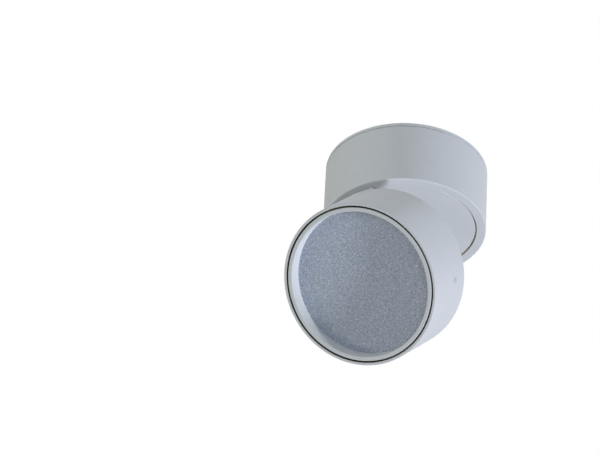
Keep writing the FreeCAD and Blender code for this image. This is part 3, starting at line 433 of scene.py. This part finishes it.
FINISHES: tuple[Finish, ...] = (
    PowderCoat(Slot.WHITE_COAT, (0.70, 0.71, 0.72), 0.62, scuff=SCUFF_PLACE),
    PowderCoat(Slot.RING_COAT, (0.71, 0.72, 0.72), 0.60, grain_size=0.4 * MILLIMETRE),
    PowderCoat(Slot.HINGE_COAT, (0.72, 0.73, 0.74), 0.5, grain_size=0.4 * MILLIMETRE),
    WorkedMetal(Slot.SCREW_STEEL, (0.55, 0.55, 0.56), 0.34),
    WorkedMetal(Slot.ZINC_STEEL, (0.58, 0.58, 0.57), 0.42),
    WorkedMetal(Slot.SPRING_STEEL, (0.40, 0.40, 0.41), 0.36),
    WorkedMetal(Slot.BUSH_BRASS, (0.72, 0.58, 0.32), 0.34),
    Moulding(Slot.SLIP_PLASTIC, (0.80, 0.79, 0.75), 0.5),
    Moulding(Slot.DRIVER_PLASTIC, (0.78, 0.78, 0.76), 0.55),
    Moulding(Slot.BOARD_GREEN, (0.05, 0.22, 0.12), 0.4),
    Moulding(Slot.CORE_BLACK, (0.05, 0.05, 0.05), 0.6),
    Moulding(Slot.CAPACITOR_SLEEVE, (0.06, 0.07, 0.10), 0.25),
    Moulding(Slot.TERMINAL_PLASTIC, (0.85, 0.85, 0.82), 0.45),
    Moulding(Slot.GROMMET_RUBBER, (0.30, 0.30, 0.30), 0.7, texture_size=0.5 * MILLIMETRE),
    SparklingSheet(Slot.DIFFUSER_SHEET, (0.315, 0.355, 0.465), 0.5),
    Moulding(Slot.REFLECTOR_PLASTIC, (0.85, 0.85, 0.85), 0.3),
    Moulding(Slot.CHIP_RESIN, (0.90, 0.75, 0.20), 0.3),
    Moulding(Slot.BOARD_WHITE, (0.85, 0.85, 0.85), 0.4),
    Moulding(Slot.PAD_RUBBER, (0.55, 0.56, 0.58), 0.7),
    WorkedMetal(Slot.RAW_ALUMINIUM, (0.62, 0.63, 0.64), 0.4),
)


# ------------------------------------------------------------------ sub-assemblies


@dataclass(frozen=True)
class HeadFrame:
    """The lamp head's own frame: x and y across, s forward from its back face along the can."""

    tilt: float = 44.3
    pin_y: float = -40.7 * MILLIMETRE
    pin_z: float = -44.4 * MILLIMETRE
    back_z: float = -46.9 * MILLIMETRE

    def polar(self, places: np.ndarray) -> tuple[np.ndarray, np.ndarray]:
        """Radius from the head's axis and s of row places.

        The places are turned back about the hinge pin by the tilt, and s is counted down from the
        back face of the folded head.

        Args:
            places: Row places, one to a line.

        Returns:
            The radii and the s values.
        """
        turn = math.radians(self.tilt)
        across, up = places[:, 1] - self.pin_y, places[:, 2] - self.pin_z
        y = self.pin_y + across * math.cos(turn) - up * math.sin(turn)
        z = self.pin_z + across * math.sin(turn) + up * math.cos(turn)
        return np.hypot(places[:, 0], y), self.back_z - z


@dataclass
class SubAssembly:
    """One body of the lamp: its CAD pieces, dressed in the finishes of the record."""

    frame: Mapping[str, Any]
    materials: Mapping[str, bpy.types.Material]
    # the finish of faces left out of the coat: bare metal, and in the head a near-black painted shade for
    # the groove
    bare_metal_and_shade: bpy.types.Material
    body: str = ""

    def dress(self) -> None:
        """Gives each CAD piece of the body its finish and reports it."""
        slots = {part["node"]: part["material_slot"] for part in self.frame["record"]["subparts"]}
        for node in self.frame["record"]["behaviour"]["bodies"][self.body]:
            piece = self.frame["nodes"][node]
            piece.data.materials.clear()
            piece.data.materials.append(self.materials[slots[node]])
            LOG.info("%s: %s in %s", self.body, node, slots[node])
        self.mask()

    def mask(self) -> None:
        """Leaves the faces bare that the coat left out; in the head their dark finish is painted shade."""

    def centres(self, node: str) -> np.ndarray:
        """Middles of the faces of a CAD piece, one to a line."""
        faces = self.frame["nodes"][node].data.polygons
        places = np.empty(len(faces) * 3)
        faces.foreach_get("center", places)
        return places.reshape(-1, 3)

    def lay_bare_metal_and_shade(self, node: str, chosen: np.ndarray) -> None:
        """Gives the chosen faces of a CAD piece bare metal instead of the coat; in the head it is painted
        shade.

        Args:
            node: The piece.
            chosen: True for each face that the coat left out.
        """
        mesh = self.frame["nodes"][node].data
        mesh.materials.append(self.bare_metal_and_shade)
        mesh.polygons.foreach_set("material_index", chosen.astype(np.int32))
        LOG.info("%s: %d bare faces", node, int(chosen.sum()))


@dataclass
class FixedCan(SubAssembly):
    """The fixed can under its ceiling plate: coated outside, bare inside and in the opening's wall."""

    body: str = "base"
    opening: float = 39.85 * MILLIMETRE
    inner: float = 43.05 * MILLIMETRE
    rim_edge: float = -38.5 * MILLIMETRE
    rim_top: float = -36.4 * MILLIMETRE

    def mask(self) -> None:
        """Leaves the opening's wall and the can's inside bare."""
        places = self.centres("base_housing")
        radius, height = np.hypot(places[:, 0], places[:, 1]), places[:, 2]
        wall = (radius < self.opening) & (height > self.rim_edge)
        inside = (radius < self.inner) & (height > self.rim_top)
        self.lay_bare_metal_and_shade("base_housing", wall | inside)


@dataclass
class SwivelStage(SubAssembly):
    """The swivelling disc with its hinge bracket: only the disc's lower face is coated."""

    body: str = "swivel"
    coated_below: float = -37.9 * MILLIMETRE

    def mask(self) -> None:
        """Leaves the disc's edge, flange and hub bare."""
        self.lay_bare_metal_and_shade("swivel_disc", self.centres("swivel_disc")[:, 2] > self.coated_below)


@dataclass
class LampHead(SubAssembly):
    """The folding lamp head: coated outside and on the ring, bare inside and on the ring's thread, where the
    bare metal is near black as painted shade for the groove.
    """

    body: str = "head"
    place: HeadFrame = field(default_factory=HeadFrame)
    inner: float = 43.2 * MILLIMETRE
    ring_face: float = 42.2 * MILLIMETRE
    lip: float = 0.4 * MILLIMETRE
    length: float = 39.0 * MILLIMETRE

    def mask(self) -> None:
        """Leaves the can's inside and the ring's outer wall bare, up to their lips, in a near-black finish
        that is painted shade for the groove.
        """
        radius, forward = self.place.polar(self.centres("head_housing"))
        self.lay_bare_metal_and_shade("head_housing", (radius < self.inner) & (forward > self.lip))
        radius, forward = self.place.polar(self.centres("front_ring"))
        self.lay_bare_metal_and_shade("front_ring", (radius > self.ring_face) & (forward < self.length - self.lip))


# ------------------------------------------------------------------ camera, light and room


@dataclass(frozen=True)
class PhotoCamera:
    """The photograph's camera: below the ceiling, a little rolled, with a long lens."""

    azimuth: float = 36.4247
    elevation: float = -36.9440
    roll: float = 3.3889
    distance: float = 2.203708
    aim: tuple[float, float, float] = (-0.039315, -0.043654, -0.050334)
    lens: float = 241.361
    sensor: float = 36.0
    nearest: float = 0.05
    farthest: float = 60.0

    def place(self) -> bpy.types.Object:
        """Puts the camera in the scene and returns it."""
        data = bpy.data.cameras.new("photo_camera")
        data.lens = self.lens
        data.sensor_width = self.sensor
        data.clip_start = self.nearest
        data.clip_end = self.farthest
        camera = bpy.data.objects.new("photo_camera", data)
        back = direction(self.azimuth, self.elevation)
        camera.location = Vector(self.aim) + back * self.distance
        camera.rotation_mode = "QUATERNION"
        turn = Quaternion((0.0, 0.0, 1.0), math.radians(self.roll))
        camera.rotation_quaternion = (-back).to_track_quat("-Z", "Y") @ turn
        bpy.context.scene.collection.objects.link(camera)
        bpy.context.scene.camera = camera
        return camera


def direction(azimuth: float, elevation: float) -> Vector:
    """Unit vector from the lamp towards a place at an azimuth, turned from -Y, and a height, in degrees."""
    turn, rise = math.radians(azimuth), math.radians(elevation)
    return Vector((math.sin(turn) * math.cos(rise), -math.cos(turn) * math.cos(rise), math.sin(rise)))


@dataclass(frozen=True)
class Softbox:
    """A round studio lamp that faces the object."""

    name: str
    azimuth: float
    elevation: float
    width: float
    level: float
    color: Color = (1.0, 1.0, 1.0)
    distance: float = 2.5

    def place(self, aim: Vector) -> bpy.types.Object:
        """Puts the lamp in the scene.

        Args:
            aim: The point that it faces.

        Returns:
            The lamp.
        """
        data = bpy.data.lights.new(self.name, "AREA")
        data.shape = "DISK"
        data.size = self.width
        data.color = self.color
        # a level of 1 lights a white face that looks at the lamp as bright as it is written
        data.energy = self.level * math.pi * math.pi * self.distance ** 2
        lamp = bpy.data.objects.new(self.name, data)
        towards = direction(self.azimuth, self.elevation)
        lamp.location = aim + towards * self.distance
        lamp.rotation_mode = "QUATERNION"
        lamp.rotation_quaternion = towards.to_track_quat("Z", "Y")
        bpy.context.scene.collection.objects.link(lamp)
        return lamp


@dataclass(frozen=True)
class Studio:
    """The room: an even level of light, seven softboxes, and a pale floor far below."""

    aim: tuple[float, float, float] = (0.0, -0.01, -0.065)
    level: float = 0.15
    white: Color = (1.0, 1.0, 1.0)
    floor_height: float = -2.4
    floor_size: float = 14.0
    floor_color: Color = (0.80, 0.80, 0.80)
    floor_roughness: float = 0.9
    floor_glow: float = 0.80
    lamps: tuple[Softbox, ...] = (
        Softbox("key_lamp", 117.0, -38.0, 0.20, 0.716, (0.83, 0.88, 1.0)),
        Softbox("rear_left_lamp", -128.0, 4.0, 0.8, 0.08, (0.95, 1.0, 0.95)),
        Softbox("left_lamp", -50.0, -15.0, 0.7, 0.116, (0.98, 1.0, 0.88)),
        Softbox("front_lamp", -12.0, -12.0, 0.9, 0.117, (0.94, 1.0, 0.96)),
        Softbox("right_lamp", 50.0, -27.0, 0.7, 0.137, (0.66, 0.82, 1.0)),
        Softbox("high_front_lamp", 0.0, 47.0, 1.4, 0.226, (0.91, 0.96, 1.0)),
        Softbox("high_rear_lamp", 130.0, 60.0, 1.6, 0.177, (0.80, 0.88, 1.0)),
    )

    def build(self) -> None:
        """Sets the world, the lamps and the floor."""
        self._world()
        for lamp in self.lamps:
            lamp.place(Vector(self.aim))
        self._floor()

    def _world(self) -> None:
        """Lights the scene evenly and shows plain white to the camera, to gloss and through glass."""
        world = bpy.data.worlds.new("studio")
        world.use_nodes = True
        world.node_tree.nodes.clear()
        board = NodeBoard(world.node_tree)
        even = board.add("ShaderNodeBackground", {"Color": opaque(self.white), "Strength": self.level})
        white = board.add("ShaderNodeBackground", {"Color": opaque(self.white), "Strength": 1.0})
        board.add("ShaderNodeOutputWorld", {"Surface": self._shown(board, even, white)})
        bpy.context.scene.world = world

    def _floor(self) -> None:
        """Lays the pale floor, a square well below the camera, which shows white and keeps shadows."""
        half = self.floor_size / 2.0
        signs = ((-1.0, -1.0), (1.0, -1.0), (1.0, 1.0), (-1.0, 1.0))
        corners = [(across * half, along * half, self.floor_height) for across, along in signs]
        mesh = bpy.data.meshes.new("floor")
        mesh.from_pydata(corners, [], [(0, 1, 2, 3)])
        mesh.materials.append(self._floor_paint())
        floor = bpy.data.objects.new("floor", mesh)
        bpy.context.scene.collection.objects.link(floor)

    def _floor_paint(self) -> bpy.types.Material:
        """Matt pale paint, which glows besides for the rays that show the background."""
        paint = bpy.data.materials.new("floor_paint")
        paint.use_nodes = True
        paint.node_tree.nodes.clear()
        board = NodeBoard(paint.node_tree)
        values = {"Base Color": opaque(self.floor_color), "Roughness": self.floor_roughness}
        matt = board.add("ShaderNodeBsdfPrincipled", values)
        glow = board.add("ShaderNodeEmission", {"Strength": self.floor_glow})
        bright = board.add("ShaderNodeAddShader", {0: matt.outputs[0], 1: glow.outputs[0]})
        board.add("ShaderNodeOutputMaterial", {"Surface": self._shown(board, matt, bright)})
        return paint

    @staticmethod
    def _shown(board: NodeBoard, lighting: bpy.types.Node, seen: bpy.types.Node) -> bpy.types.NodeSocket:
        """Mixes two shaders by the kind of ray.

        Args:
            board: The board of the world or of a material.
            lighting: The shader for rays that light the object.
            seen: The shader for rays of the camera, of gloss and through glass.

        Returns:
            The mixed shader's output.
        """
        path = board.add("ShaderNodeLightPath").outputs
        shows = board.math("MAXIMUM", path["Is Camera Ray"], path["Is Glossy Ray"])
        shows = board.math("MAXIMUM", shows, path["Is Transmission Ray"])
        mixed = board.add("ShaderNodeMixShader", {0: shows, 1: lighting.outputs[0], 2: seen.outputs[0]})
        return mixed.outputs[0]


def main() -> None:
    logging.basicConfig(level=logging.INFO, format="%(message)s")
    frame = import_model()
    groups = ShaderGroups()
    materials = {finish.slot.value: finish.material(groups) for finish in FINISHES}
    # the gap gets olive bare metal; the head's groove gets near-black bare metal, a painted shade
    gap, groove = MASKED_GAP.material(groups), BARE_GROOVE_PAINTED_SHADE.material(groups)
    for part, bare_metal_and_shade in ((FixedCan, gap), (SwivelStage, gap), (LampHead, groove)):
        part(frame, materials, bare_metal_and_shade).dress()
    PhotoCamera().place()
    Studio().build()
    bpy.context.scene.view_settings.view_transform = "Standard"


if __name__ == "__main__":
    main()
